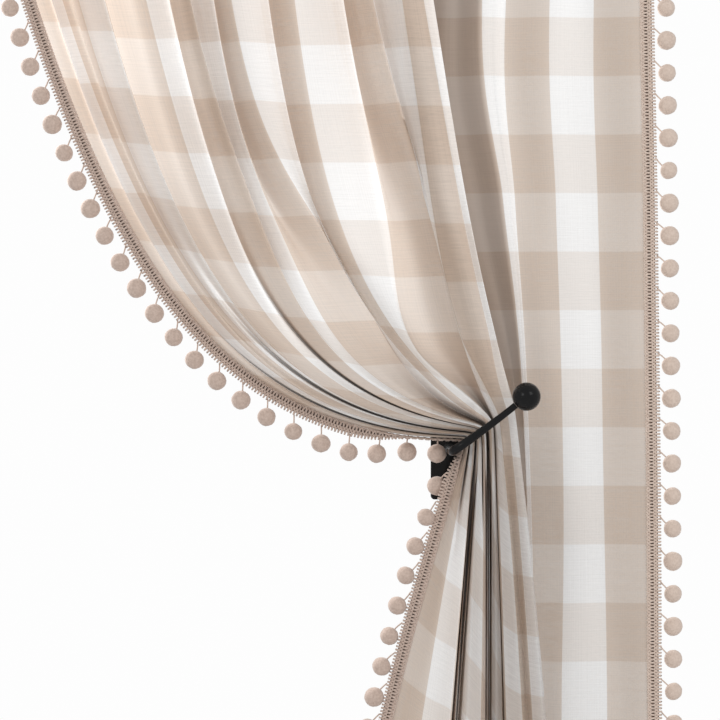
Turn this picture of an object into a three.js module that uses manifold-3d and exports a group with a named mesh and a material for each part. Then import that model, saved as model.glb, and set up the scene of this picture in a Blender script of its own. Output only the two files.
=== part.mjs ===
// A pair of check curtains, side by side on one line: the left one swept back into a ball-ended
// holdback, the right one hanging straight, each with a pompom trim on its outer edge.
// Millimetres, +Z up. The origin is the middle of the heading line, X runs along the wall,
// Y points to the wall, and "drop" is the distance below the heading.
import * as THREE from 'three';
import { mergeVertices } from 'three/addons/utils/BufferGeometryUtils.js';
import Module from 'manifold-3d';

const wasm = await Module();
wasm.setup();

// Cloth
const CHECK = 59.3; // one square of the check, woven in
const PANEL_LENGTH = 2134; // cut length of both panels, 84 inches
const CLOTH_THICKNESS = 1;
const SEGMENTS_PER_CHECK = { swept: 4, straight: 3 };
const SWEPT_CHECKS = 17;
const STRAIGHT_CHECKS = 9;

// Pompom trim
const TRIM = { gap: 1.1, width: 11.9, thickness: 2, stemRoot: 1.5, stemSide: 0.9, stemLength: 6, ballRadius: 9.5 };
const POMPOM_SIDES = 4;
// At the arm the braid turns edgewise by this angle, wholly for `whole` above it, and not at all
// beyond the two other lengths
const NECK_TURN = { angle: 1.5, whole: 50, above: 140, below: 75 };
// Places along the cloth's edge, from the arm up and down, and from the heading. The pitch grows by
// twice `growth` from one to the next.
const LEADING_POMPOMS = {
  above: { first: 31.2, pitch: 28, growth: 0.06 },
  below: { first: 42, pitch: 31, growth: 0 },
};
const OUTER_POMPOMS = { first: 23.7, pitch: 32.9, growth: 0 };
// How far a pompom hangs outwards, against its hanging down; below the arm this grows from nought
const HANG_OUT = { above: 1, below: 0.55, growsBy: 150 };

// Holdback
const WALL_Y = 95;
const PLATE = { x: 226, drop: 1274, width: 46, height: 100, thickness: 4, corner: 4 };
const FIT_GAP = 0.3; // between pieces that meet
const ARM = {
  y: -58,
  bend: 14,
  rootRadius: 5,
  tipRadius: 3.3,
  elbow: { x: 221.2, drop: 1269.9 },
  middle: { x: 260, drop: 1243 },
  tip: { x: 283, drop: 1224.5 },
  steps: 26,
  sides: 12,
};
const BALL = { radius: 14, segments: 18, rings: 10 };

// The line along the arm on which the swept cloth is gathered
const GATHER = { x: 229, drop: 1263, dx: 0.812, drise: 0.584, turn: 6 };

// Swept panel, a row for each line between two columns of checks, from the leading edge on.
// top is where the line starts on the heading, arm how far along the arm it crosses, and
// low where it hangs 1540 below the heading.
const SWEPT_LINES = [
  { top: -419, arm: 11, low: 160 },
  { top: -388, arm: 14, low: 190 },
  { top: -369, arm: 17, low: 219 },
  { top: -345, arm: 19.5, low: 227 },
  { top: -293, arm: 22.5, low: 235 },
  { top: -237, arm: 25, low: 255 },
  { top: -199, arm: 27.5, low: 259 },
  { top: -175, arm: 29.5, low: 262 },
  { top: -135, arm: 32, low: 267 },
  { top: -122, arm: 34, low: 273 },
  { top: -62, arm: 36, low: 277 },
  { top: -34, arm: 38.5, low: 285 },
  { top: 23, arm: 41, low: 293 },
  { top: 37, arm: 44.5, low: 297 },
  { top: 97, arm: 48, low: 301 },
  { top: 110, arm: 57, low: 308 },
  { top: 131, arm: 66.5, low: 316 },
  { top: 122, arm: 62.5, low: 311 },
];
const LOW_DROP = 1540;
const ROUND_FOLDS = 0.7; // at the arm, how far the sides of the folds draw together to leave round tips
const HEM_SPREAD = 1.55; // widths at the hem against those at LOW_DROP
const HEM_EDGE = 98; // where the leading edge ends

// How a line leaves the heading and reaches the arm, every few columns: the lean and pull of its
// curve at the heading, and the angle above level and reach with which it comes to the arm.
const SWEPT_CURVES = [
  { at: 0, lean: 0.3, pull: 740, angle: -2, reach: 420 },
  { at: 4, lean: 0.24, pull: 700, angle: 2, reach: 390 },
  { at: 8, lean: 0.2, pull: 800, angle: 12, reach: 330 },
  { at: 11, lean: 0.15, pull: 800, angle: 33, reach: 280 },
  { at: 13, lean: 0.06, pull: 640, angle: 60, reach: 140 },
  { at: 17, lean: 0.01, pull: 640, angle: 76, reach: 105 },
];

// Depth of the swept panel's folds and of the panel itself
const SWEPT_DEPTH = {
  fold: 22,
  hemFold: 4,
  armFold: -12,
  armFoldSpan: 140,
  forward: -20,
  forwardBy: 1200,
  atArm: -12,
  atArmSpan: 150,
};
const GROOVE_POWER = 1.5; // over 1, the grooves are narrower than the crests

// Straight panel, a row for each line between two columns, from its inner edge on: its places
// across at five drops, and its depth.
const STRAIGHT_DROPS = [0, 820, 1020, 1250, 1540, 2134];
const STRAIGHT_LINES = [
  { across: [142, 174, 195, 256, 258, 258], depth: 46 },
  { across: [172, 181, 202, 263, 265, 265], depth: 20 },
  { across: [202, 188, 209, 270, 273, 273], depth: 48 },
  { across: [231, 194, 216, 277, 280, 281], depth: 20 },
  { across: [261, 200, 223, 284, 287, 289], depth: 48 },
  { across: [291, 254, 274, 296, 298, 301], depth: 20 },
  { across: [321, 277, 288, 301, 306, 311], depth: 50 },
  { across: [351, 322, 328, 335, 334, 336], depth: 18 },
  { across: [380, 367, 371, 376, 380, 383], depth: 46 },
  { across: [410, 416, 418, 421, 424, 427], depth: 26 },
];
const STRAIGHT_HEADING_DEPTH = { middle: 4, share: 0.5, settledBy: 700 };
const STRAIGHT_MIDDLE_DEPTH = 34;

const MATERIALS = {
  cloth: new THREE.MeshStandardMaterial({ name: 'check_cloth', color: 0xded2c6, roughness: 0.9, metalness: 0 }),
  trim: new THREE.MeshStandardMaterial({ name: 'pompom_trim', color: 0xcdb9a8, roughness: 0.95, metalness: 0 }),
  metal: new THREE.MeshStandardMaterial({ name: 'black_paint', color: 0x161616, roughness: 0.25, metalness: 0.3 }),
};

const lerp = (a, b, t) => a + (b - a) * t;
const smooth = (t) => {
  const c = Math.min(Math.max(t, 0), 1);
  return c * c * (3 - 2 * c);
};
const bell = (distance, span) => Math.exp(-((distance / span) ** 2));
// Nought before zero and x after it, with a soft corner
const softRamp = (x, width) => (x + Math.sqrt(x * x + width * width)) / 2;

// The value at `at` of a list of values at whole numbers
function between(values, at) {
  const i = Math.max(Math.min(Math.floor(at), values.length - 2), 0);
  return lerp(values[i], values[i + 1], at - i);
}

// The value at x of a smooth curve through (xs, ys), each piece a cubic
function through(xs, ys, x) {
  const last = xs.length - 1;
  const slope = (i) => {
    const a = Math.max(i - 1, 0);
    const b = Math.min(i + 1, last);
    return (ys[b] - ys[a]) / (xs[b] - xs[a]);
  };
  let i = 0;
  while (i < last - 1 && x > xs[i + 1]) i += 1;
  const width = xs[i + 1] - xs[i];
  const t = (x - xs[i]) / width;
  const blend = smooth(t);
  const startLine = ys[i] + slope(i) * width * t;
  const endLine = ys[i + 1] - slope(i + 1) * width * (1 - t);
  return lerp(startLine, endLine, blend);
}

// One line of the swept panel, `at` columns from the leading edge: a curve from the heading to the
// arm, and below the arm a parabola to the hem.
function sweptLine(at) {
  const column = (name, where = at) => between(SWEPT_LINES.map((row) => row[name]), where);
  const curve = (name) => {
    const i = Math.max(SWEPT_CURVES.findLastIndex((row) => row.at <= at && row.at < SWEPT_CHECKS), 0);
    const [a, b] = [SWEPT_CURVES[i], SWEPT_CURVES[i + 1]];
    return lerp(a[name], b[name], (at - a.at) / (b.at - a.at));
  };
  const arm = column('arm', at + (ROUND_FOLDS * Math.sin(2 * Math.PI * (at - 0.5))) / (2 * Math.PI));
  const crossing = new THREE.Vector2(GATHER.x + arm * GATHER.dx, GATHER.drop - arm * GATHER.drise);
  const heading = new THREE.Vector2(column('top'), 0);
  const leaving = new THREE.Vector2(curve('lean'), 1).normalize();
  const angle = THREE.MathUtils.degToRad(curve('angle'));
  const arriving = new THREE.Vector2(Math.cos(angle), Math.sin(angle));
  const upper = new THREE.CubicBezierCurve(
    heading,
    heading.clone().addScaledVector(leaving, curve('pull')),
    crossing.clone().addScaledVector(arriving, -curve('reach')),
    crossing,
  );
  const upperLength = upper.getLength();
  const lowerLength = PANEL_LENGTH - upperLength;
  const toLow = LOW_DROP - crossing.y;
  const low = column('low');
  const hem = HEM_EDGE + (low - SWEPT_LINES[0].low) * HEM_SPREAD;
  const lowSlope = (low - crossing.x) / toLow;
  const hemSlope = (hem - crossing.x) / lowerLength;
  const bend = (hemSlope - lowSlope) / (lowerLength - toLow);
  const slope = lowSlope - bend * toLow;
  const lower = (s) => new THREE.Vector2(
    crossing.x + slope * s + bend * s * s,
    crossing.y + s - (slope * slope * s + 2 * slope * bend * s * s + (4 * bend * bend * s ** 3) / 3) / 2,
  );
  // A place `s` along the line from the arm, below nought above it
  const place = (s) => {
    const up = Math.min(softRamp(-s, GATHER.turn), upperLength);
    const point = upper.getPointAt(1 - up / upperLength);
    return point.add(lower(softRamp(s, GATHER.turn))).sub(crossing);
  };
  return { place, upperLength, lowerLength };
}

// A place on the swept panel, `at` columns from the leading edge and s along from the arm
function sweptPoint(line, at, s) {
  const flat = line.place(s);
  const down = (s + line.upperLength) / PANEL_LENGTH;
  const d = SWEPT_DEPTH;
  const depth = d.forward * smooth((s + line.upperLength) / d.forwardBy) + d.atArm * bell(s, d.atArmSpan);
  const fold = d.fold + d.hemFold * down + d.armFold * bell(s, d.armFoldSpan);
  const wave = (1 + Math.cos(Math.PI * (at + 0.5))) / 2; // 1 in a groove, 0 on a crest
  return new THREE.Vector3(flat.x, depth + fold * (2 * wave ** GROOVE_POWER - 1), -flat.y);
}

// Rows of the swept panel, closer together near the arm, as shares of each line above and below it
const UPPER_ROWS = 13;
const LOWER_ROWS = 7;
function sweptRows(line) {
  const above = Array.from({ length: UPPER_ROWS }, (_, i) => -line.upperLength * (1 - i / UPPER_ROWS) ** 1.6);
  const below = Array.from({ length: LOWER_ROWS + 1 }, (_, i) => line.lowerLength * (i / LOWER_ROWS) ** 1.5);
  return [...above, ...below];
}

function sweptGrid() {
  const count = SWEPT_CHECKS * SEGMENTS_PER_CHECK.swept;
  return Array.from({ length: count + 1 }, (_, i) => {
    const at = i / SEGMENTS_PER_CHECK.swept;
    const line = sweptLine(at);
    return sweptRows(line).map((s) => sweptPoint(line, at, s));
  });
}

// A place on the straight panel, `at` columns from its inner edge
function straightPoint(at, drop) {
  const i = Math.min(Math.floor(at), STRAIGHT_CHECKS - 1);
  const [a, b] = [STRAIGHT_LINES[i], STRAIGHT_LINES[i + 1]];
  const [xa, xb] = [a, b].map((row) => through(STRAIGHT_DROPS, row.across, drop));
  const settled = smooth(drop / STRAIGHT_HEADING_DEPTH.settledBy);
  const fold = lerp(a.depth, b.depth, smooth(at - i)) - STRAIGHT_MIDDLE_DEPTH;
  const middle = lerp(STRAIGHT_HEADING_DEPTH.middle, STRAIGHT_MIDDLE_DEPTH, settled);
  return new THREE.Vector3(lerp(xa, xb, at - i), middle + fold * lerp(STRAIGHT_HEADING_DEPTH.share, 1, settled), -drop);
}

const STRAIGHT_ROWS = 15;
function straightGrid() {
  const count = STRAIGHT_CHECKS * SEGMENTS_PER_CHECK.straight;
  return Array.from({ length: count + 1 }, (_, i) =>
    Array.from({ length: STRAIGHT_ROWS + 1 }, (_, j) =>
      straightPoint(i / SEGMENTS_PER_CHECK.straight, (PANEL_LENGTH * j) / STRAIGHT_ROWS)));
}

// The unit normal at a grid point, from its neighbours across and down
function gridNormal(grid, i, j) {
  const across = grid[Math.min(i + 1, grid.length - 1)][j].clone().sub(grid[Math.max(i - 1, 0)][j]);
  const column = grid[i];
  const down = column[Math.min(j + 1, column.length - 1)].clone().sub(column[Math.max(j - 1, 0)]);
  return down.cross(across).normalize();
}

// A closed sheet of the given thickness on a grid of points, its two faces and its rim
function sheetGeometry(grid, thickness) {
  const columns = grid.length;
  const rows = grid[0].length;
  const positions = [];
  for (const side of [0.5, -0.5]) {
    grid.forEach((column, i) => column.forEach((point, j) => {
      const moved = point.clone().addScaledVector(gridNormal(grid, i, j), side * thickness);
      positions.push(moved.x, moved.y, moved.z);
    }));
  }
  const back = columns * rows;
  const at = (i, j) => i * rows + j;
  const faces = [];
  const quad = (a, b, c, d) => faces.push(a, b, c, a, c, d);
  for (let i = 0; i < columns - 1; i += 1) {
    for (let j = 0; j < rows - 1; j += 1) {
      quad(at(i, j), at(i, j + 1), at(i + 1, j + 1), at(i + 1, j));
      quad(back + at(i, j), back + at(i + 1, j), back + at(i + 1, j + 1), back + at(i, j + 1));
    }
    quad(at(i, 0), at(i + 1, 0), back + at(i + 1, 0), back + at(i, 0));
    quad(at(i + 1, rows - 1), at(i, rows - 1), back + at(i, rows - 1), back + at(i + 1, rows - 1));
  }
  for (let j = 0; j < rows - 1; j += 1) {
    quad(at(0, j + 1), at(0, j), back + at(0, j), back + at(0, j + 1));
    quad(at(columns - 1, j), at(columns - 1, j + 1), back + at(columns - 1, j + 1), back + at(columns - 1, j));
  }
  const geometry = new THREE.BufferGeometry();
  geometry.setAttribute('position', new THREE.Float32BufferAttribute(positions, 3));
  geometry.setIndex(faces);
  return geometry;
}

// A pompom on its stem, its root at the origin and its axis along +Y
function pompomGeometry() {
  const r = TRIM.ballRadius;
  const start = TRIM.stemLength + TRIM.stemRoot;
  const profile = [
    [0, 0],
    [TRIM.stemSide, 0],
    [TRIM.stemSide, start],
    [0.9 * r, start + 0.55 * r],
    [0.95 * r, start + 1.35 * r],
    [0, start + 2 * r],
  ].map(([x, y]) => new THREE.Vector2(x, y));
  return new THREE.LatheGeometry(profile, POMPOM_SIDES);
}

function toSolid(geometry) {
  const bare = geometry.clone();
  bare.deleteAttribute('normal');
  bare.deleteAttribute('uv');
  const merged = mergeVertices(bare, 1e-4);
  return new wasm.Manifold(new wasm.Mesh({
    numProp: 3,
    vertProperties: Float32Array.from(merged.attributes.position.array),
    triVerts: Uint32Array.from(merged.index.array),
  }));
}

function fromSolid(solid) {
  const mesh = solid.getMesh();
  const geometry = new THREE.BufferGeometry();
  geometry.setAttribute('position', new THREE.Float32BufferAttribute(mesh.vertProperties, 3));
  geometry.setIndex(Array.from(mesh.triVerts));
  return geometry;
}

// The braid beside a cloth edge, to its left where side is -1 and to its right where it is 1, flat
// along the wall but for its turn, which is an angle for each row
function braidGrid(edge, side, turn) {
  const outward = edge.map((point, j) => {
    const along = edge[Math.min(j + 1, edge.length - 1)].clone().sub(edge[Math.max(j - 1, 0)]);
    const square = new THREE.Vector3(-along.z, 0, along.x).multiplyScalar(side).normalize();
    return square.multiplyScalar(Math.cos(turn[j])).setY(Math.sin(turn[j]));
  });
  return [TRIM.gap + TRIM.width, TRIM.gap].map((out) => edge.map((point, j) => (
    point.clone().addScaledVector(outward[j], out))));
}

// The trim of one edge: its braid with the pompoms joined on. lengths are those of the rows along
// the cloth's edge, and each of places is a pompom's length, how far it hangs outwards and how far
// back to the wall. It also hangs along the edge, as far as the edge slopes down.
function trimGeometry(braid, side, lengths, places, keepClear) {
  const [outer] = braid;
  const ordered = side < 0 ? braid : [...braid].reverse();
  const solids = [toSolid(sheetGeometry(ordered, TRIM.thickness))];
  const ball = pompomGeometry();
  for (const { length, out, back } of places) {
    const j = Math.min(Math.max(lengths.findLastIndex((value) => value <= length), 0), lengths.length - 2);
    const point = outer[j].clone().lerp(outer[j + 1], (length - lengths[j]) / (lengths[j + 1] - lengths[j]));
    const along = outer[j + 1].clone().sub(outer[j]).normalize();
    const square = new THREE.Vector3(-along.z, 0, along.x).multiplyScalar(side).normalize();
    const hang = square.multiplyScalar(out).addScaledVector(along, Math.max(-along.z, 0));
    hang.setY(hang.y + back).normalize();
    const root = point.addScaledVector(hang, -TRIM.stemRoot);
    const centre = root.clone().addScaledVector(hang, TRIM.stemRoot + TRIM.stemLength + TRIM.ballRadius);
    if (!keepClear || keepClear(centre)) {
      const turn = new THREE.Quaternion().setFromUnitVectors(new THREE.Vector3(0, 1, 0), hang);
      const matrix = new THREE.Matrix4().compose(root, turn, new THREE.Vector3(1, 1, 1));
      solids.push(toSolid(ball.clone().applyMatrix4(matrix)));
    }
  }
  return fromSolid(wasm.Manifold.union(solids));
}

// The places of a row of pompoms, as far as `end`
function pompomPlaces({ first, pitch, growth }, end) {
  const places = [];
  for (let k = 0; first + k * (pitch + growth * k) < end; k += 1) places.push(first + k * (pitch + growth * k));
  return places;
}

// The bar of the holdback: out from the plate, round the elbow and along to the ball, tapering.
// It is carried along its path ring by ring, each ring square to the path.
function armPath() {
  const { elbow, middle, tip, y, bend } = ARM;
  const start = new THREE.Vector3(elbow.x, WALL_Y - PLATE.thickness - FIT_GAP, -elbow.drop);
  const corner = new THREE.Vector3(elbow.x, y, -elbow.drop);
  const half = new THREE.Vector3(middle.x, y, -middle.drop);
  const end = new THREE.Vector3(tip.x, y, -tip.drop);
  const along = half.clone().sub(corner).normalize();
  const path = new THREE.CurvePath();
  const bendStart = corner.clone().setY(y + bend);
  const bendEnd = corner.clone().addScaledVector(along, bend);
  path.add(new THREE.LineCurve3(start, bendStart));
  path.add(new THREE.QuadraticBezierCurve3(bendStart, corner, bendEnd));
  path.add(new THREE.QuadraticBezierCurve3(bendEnd, half, end));
  return path;
}

function armGeometry() {
  const path = armPath();
  const positions = [];
  const faces = [];
  for (let i = 0; i <= ARM.steps; i += 1) {
    const t = i / ARM.steps;
    const centre = path.getPointAt(t);
    const tangent = path.getTangentAt(t);
    const radius = lerp(ARM.rootRadius, ARM.tipRadius, smooth((t - 0.5) * 2));
    const up = new THREE.Vector3(0, 0, 1);
    const sideways = new THREE.Vector3().crossVectors(tangent, up).normalize();
    const square = new THREE.Vector3().crossVectors(sideways, tangent);
    for (let k = 0; k < ARM.sides; k += 1) {
      const angle = (-2 * Math.PI * k) / ARM.sides;
      const point = centre.clone()
        .addScaledVector(sideways, radius * Math.cos(angle))
        .addScaledVector(square, radius * Math.sin(angle));
      positions.push(point.x, point.y, point.z);
    }
  }
  const ring = (i, k) => i * ARM.sides + (k % ARM.sides);
  for (let i = 0; i < ARM.steps; i += 1) {
    for (let k = 0; k < ARM.sides; k += 1) {
      faces.push(ring(i, k), ring(i, k + 1), ring(i + 1, k + 1), ring(i, k), ring(i + 1, k + 1), ring(i + 1, k));
    }
  }
  for (let k = 1; k < ARM.sides - 1; k += 1) {
    faces.push(ring(0, 0), ring(0, k + 1), ring(0, k));
    faces.push(ring(ARM.steps, 0), ring(ARM.steps, k), ring(ARM.steps, k + 1));
  }
  const geometry = new THREE.BufferGeometry();
  geometry.setAttribute('position', new THREE.Float32BufferAttribute(positions, 3));
  geometry.setIndex(faces);
  return geometry;
}

// The ball, with a flat where the bar's end meets it, as a lathe about the bar's direction
function ballMesh() {
  const path = armPath();
  const direction = path.getTangentAt(1);
  const flat = ARM.tipRadius + 1;
  const start = Math.asin(flat / BALL.radius);
  const profile = [new THREE.Vector2(0, 0)];
  for (let i = 0; i <= BALL.rings; i += 1) {
    const angle = lerp(start, Math.PI, i / BALL.rings);
    const x = i === BALL.rings ? 0 : BALL.radius * Math.sin(angle);
    profile.push(new THREE.Vector2(x, BALL.radius * (Math.cos(start) - Math.cos(angle))));
  }
  const mesh = new THREE.Mesh(new THREE.LatheGeometry(profile, BALL.segments), MATERIALS.metal);
  mesh.quaternion.setFromUnitVectors(new THREE.Vector3(0, 1, 0), direction);
  mesh.position.copy(path.getPointAt(1)).addScaledVector(direction, FIT_GAP);
  return mesh;
}

function plateGeometry() {
  const { width, height, corner, thickness } = PLATE;
  const [w, h] = [width / 2, height / 2];
  const outline = new THREE.Shape();
  outline.moveTo(-w + corner, -h);
  outline.absarc(w - corner, -h + corner, corner, -Math.PI / 2, 0);
  outline.absarc(w - corner, h - corner, corner, 0, Math.PI / 2);
  outline.absarc(-w + corner, h - corner, corner, Math.PI / 2, Math.PI);
  outline.absarc(-w + corner, -h + corner, corner, Math.PI, 1.5 * Math.PI);
  return new THREE.ExtrudeGeometry(outline, { depth: thickness, bevelEnabled: false, curveSegments: 5 });
}

function plateMesh() {
  const mesh = new THREE.Mesh(plateGeometry(), MATERIALS.metal);
  mesh.rotation.x = Math.PI / 2;
  mesh.position.set(PLATE.x, WALL_Y, -PLATE.drop);
  return mesh;
}

function named(name, mesh) {
  mesh.name = name;
  return mesh;
}

const swept = sweptGrid();
const straight = straightGrid();

// The leading trim, its lengths counted from the heading
const leadingLine = sweptLine(0);
const leadingRows = sweptRows(leadingLine);
const neckTurn = (s) => {
  const left = s < 0 ? (-s - NECK_TURN.whole) / (NECK_TURN.above - NECK_TURN.whole) : s / NECK_TURN.below;
  return NECK_TURN.angle * (1 - smooth(left));
};
const leadingPlaces = [
  ...pompomPlaces(LEADING_POMPOMS.above, leadingLine.upperLength).map((up) => (
    { length: -up, out: HANG_OUT.above, back: 0 })),
  ...pompomPlaces(LEADING_POMPOMS.below, leadingLine.lowerLength).map((length) => (
    { length, out: HANG_OUT.below * smooth(length / HANG_OUT.growsBy), back: Math.sin(neckTurn(length)) })),
];
const rootClear = (centre) => {
  const gap = Math.hypot(centre.x - ARM.elbow.x, centre.z + ARM.elbow.drop);
  return gap > ARM.rootRadius + TRIM.ballRadius + 0.3;
};
const leadingTrim = trimGeometry(
  braidGrid(swept[0], -1, leadingRows.map(neckTurn)), -1, leadingRows, leadingPlaces, rootClear);

// The outer trim
const outerEdge = straight.at(-1);
const outerTrim = trimGeometry(
  braidGrid(outerEdge, 1, outerEdge.map(() => 0)), 1, outerEdge.map((point) => -point.z),
  pompomPlaces(OUTER_POMPOMS, PANEL_LENGTH).map((length) => ({ length, out: HANG_OUT.above, back: 0 })));

const curtains = new THREE.Group();
curtains.add(
  named('swept_panel', new THREE.Mesh(sheetGeometry(swept, CLOTH_THICKNESS), MATERIALS.cloth)),
  named('straight_panel', new THREE.Mesh(sheetGeometry(straight, CLOTH_THICKNESS), MATERIALS.cloth)),
  named('leading_trim', new THREE.Mesh(leadingTrim, MATERIALS.trim)),
  named('outer_trim', new THREE.Mesh(outerTrim, MATERIALS.trim)),
  named('holdback_plate', plateMesh()),
  named('holdback_arm', new THREE.Mesh(armGeometry(), MATERIALS.metal)),
  named('holdback_ball', ballMesh()),
);

export default curtains;
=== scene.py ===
"""A pair of semi-sheer check curtains with pompom trims and a ball-ended holdback.

Every piece is a surface of two parameters, worked out as whole arrays. Tables are in millimetres,
as the maker's sizes are, and a point becomes metres when it goes into a mesh. X runs along the
wall, Y to the wall, +Z up, and the origin is the middle of the heading line. "drop" is the
distance below the heading, and "at" counts columns of checks across a panel.
"""

import math

import bpy
import numpy as np
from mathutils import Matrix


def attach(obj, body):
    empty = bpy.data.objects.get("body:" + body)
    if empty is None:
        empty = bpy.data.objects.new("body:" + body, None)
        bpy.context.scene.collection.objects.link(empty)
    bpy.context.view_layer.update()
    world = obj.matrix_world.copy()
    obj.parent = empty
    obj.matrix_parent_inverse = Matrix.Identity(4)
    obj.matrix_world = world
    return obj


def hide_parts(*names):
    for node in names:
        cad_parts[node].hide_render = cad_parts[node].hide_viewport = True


MM = 0.001

# Cloth
CHECK = 59.3  # one square of the check
PANEL_LENGTH = 2134
SWEPT_CHECKS = 17
STRAIGHT_CHECKS = 9
SWEPT_STEPS = (306, 318)  # across, down
ROWS_ABOVE_BAR = 190
STRAIGHT_STEPS = (198, 400)
SWEPT_ROW_PHASE = 103.4  # where the first beige row starts below the heading
STRAIGHT_ROW_PHASE = 2.8

# The line along the holdback's bar on which the swept cloth is gathered
GATHER = {"x": 229, "drop": 1263, "dx": 0.812, "drise": 0.584, "turn": 6}
ROUND_FOLDS = 0.7
CURVE_STEPS = 700
CLOSER_TO_BAR = (1.35, 1.3)  # powers that draw the rows of points towards the bar, above and below

# Swept panel, a row for each line between two columns of checks, from the leading edge on: where
# it starts on the heading, how far along the bar it crosses, where it hangs at LOW_DROP, and a
# bulge to the right above the bar, with its distance from the bar and its span
SWEPT_LINES = np.array([
    (-419, 11, 160, 0, 0, 1), (-388, 14, 191, 0, 0, 1), (-369, 17, 220, 0, 0, 1),
    (-345, 19.5, 225, 0, 0, 1), (-293, 22.5, 227, 0, 0, 1), (-237, 25, 229, 5, 400, 250),
    (-199, 27.5, 250, 0, 0, 1), (-175, 29.5, 255.5, 16, 335, 160), (-135, 32, 257, 12, 270, 110),
    (-122, 34, 258.5, 42, 225, 130), (-62, 36, 260, 9, 150, 110), (-34, 37.5, 261, 0, 0, 1),
    (23, 41, 272, -27, 95, 95), (37, 42.5, 273.5, 11, 230, 120), (97, 48, 291, -11, 120, 170),
    (110, 57, 301, 9, 260, 300), (131, 66.5, 316, 0, 0, 1), (122, 62.5, 311, 0, 0, 1),
], dtype=float)
LOW_DROP = 1540
HEM_SPREAD = 1.55
HEM_EDGE = 98
BULGE_END = 90  # the bulges die away over this last stretch above the bar

# How a line leaves the heading and reaches the bar: at, lean, pull, angle, reach
SWEPT_CURVES = np.array([
    (0, 0.30, 740, -2, 420), (4, 0.24, 700, 2, 390), (8, 0.20, 800, 12, 330),
    (11, 0.15, 800, 33, 280), (13, 0.06, 640, 60, 140), (17, 0.01, 640, 76, 105),
])

# Folds of the swept panel, a row for each crest or valley: the column it lies on and its depth
# from the panel's middle, less towards the room, well above the bar, at the bar, and below it
SWEPT_FOLDS_ABOVE = np.array([
    (0, -10), (0.75, -18), (1.5, 15), (2.25, -10), (2.75, 17), (4, -23), (4.25, 17), (4.75, 13),
    (5.5, -12), (6, 12), (7, -20), (7.25, 10), (8, -20), (8.5, 20), (9, -20), (10, -23), (10.25, 9),
    (11, -15), (12, -24), (12.25, 18), (13, -17), (13.5, 14), (14, -23), (15, -21), (15.75, -16),
    (16.25, 6), (17, 18),
], dtype=float)
SWEPT_FOLDS_ARM = np.array([
    (0, 2), (0.5, -12), (1, -6), (1.25, 13), (1.5, -8), (2.25, -14), (3.25, -8), (3.5, 15), (3.75, -8),
    (4.75, -15), (5.75, -8), (6, 15), (6.25, -8), (7.25, -15), (8.25, -6), (9, 14), (10, -6),
    (10.75, -15), (11.75, -8), (12.5, 15), (13.5, -6), (14.25, -14), (15, -9), (15.75, -12),
    (16.25, 3), (17, 10),
], dtype=float)
SWEPT_FOLDS_BELOW = np.array([
    (0, -8), (1, -16), (2, -21), (2.5, 22), (3, 2), (3.5, 24), (4.25, 2), (4.75, 22), (5.25, -16),
    (6, -24), (6.75, -15), (7.25, 22), (8, 0), (8.75, 24), (9.5, 0), (10.25, 24), (11, -2), (11.5, -7),
    (12, -4), (12.5, 20), (13, -17), (14, -23), (14.5, -10), (15, -14), (15.75, -22), (16.25, 8),
    (17, 20),
], dtype=float)
SWEPT_DEPTH = {"forward": -20, "forward_by": 1200, "at_arm": -12, "at_arm_span": 150,
               "drawn_from": 420, "drawn_by": 130, "let_out_by": 130, "overhang": 0.5, "hem": 1.2}

# Straight panel, a row for each line between two columns: its place across at each of the drops
STRAIGHT_DROPS = np.array([0, 820, 1020, 1250, 1540, 2134], dtype=float)
STRAIGHT_ACROSS = np.array([
    (142, 174, 195, 256, 258, 258), (172, 181, 202, 263, 265, 265), (202, 188, 209, 270, 273, 273),
    (231, 194, 216, 277, 280, 281), (261, 200, 223, 284, 287, 289), (291, 254, 274, 296, 298, 301),
    (321, 277, 288, 301, 306, 311), (351, 322, 328, 335, 334, 336), (380, 367, 371, 376, 380, 383),
    (410, 416, 418, 421, 424, 427),
], dtype=float)
# Its folds, a row for each crest or valley: column and depth from the panel's middle
STRAIGHT_FOLDS = np.array([
    (0, 24), (0.67, -20), (1.33, 26), (2, -20), (2.67, 26), (3.33, -20), (4, 2), (4.5, 6), (5, -7),
    (5.5, -3), (6, 3), (7, -4), (8, 3), (9, -6),
], dtype=float)
STRAIGHT_DEPTH = {"heading": 4, "settled": 34, "settled_by": 700, "heading_share": 0.85}

# Small unevenness of the cloth: its height, and the widths and lengths of its waves
WRINKLES_DEEP = (1.6, [(150, 900), (95, 620), (61, 410)])
WRINKLES_SIDEWAYS = (1.1, [(230, 700), (120, 500)])

# Pompom trim
BRAID = {"gap": 1.1, "width": 11.9, "lap": 1.2, "lift": 1.6, "strand": 1.05, "wave": 6.6, "swing": 3.5,
         "half": 3.4, "rise": 0.5, "slant": 1.3, "per_wave": 8, "sides": 5}
# A dark strip behind each braid, painted shade for the gaps between its strands: half its width, how far
# it lies behind the braid's middle, and every how many braid samples it takes a point
GAP_SHADE_STRIP = {"half": 4.4, "behind": 1.1, "every": 8}
POMPOM = {"radius": 9.5, "reach": 15.5, "thread": 0.8, "uneven": 0.05, "lumps": 0.012, "flatter": 0.93,
          "sway": 1.2, "sewn_in": 3, "rings": 9, "sides": 14, "thread_steps": 5}
# At the bar the braid turns edgewise by this angle, wholly for `whole` above it, and not at all
# beyond the two other lengths
NECK_TURN = {"angle": 1.5, "whole": 50, "above": 140, "below": 75}
# Rows of pompoms: the first one's place along the cloth's edge, from the bar or the heading, their
# pitch and how much this grows by half from one to the next
POMPOMS_ABOVE = (31.2, 28, 0.06)
POMPOMS_BELOW = (42, 31, 0)
POMPOMS_OUTER = (23.7, 32.9, 0)
HANG_BELOW = (0.55, 150)  # how far pompoms hang outwards below the bar, and the length it grows over

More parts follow.
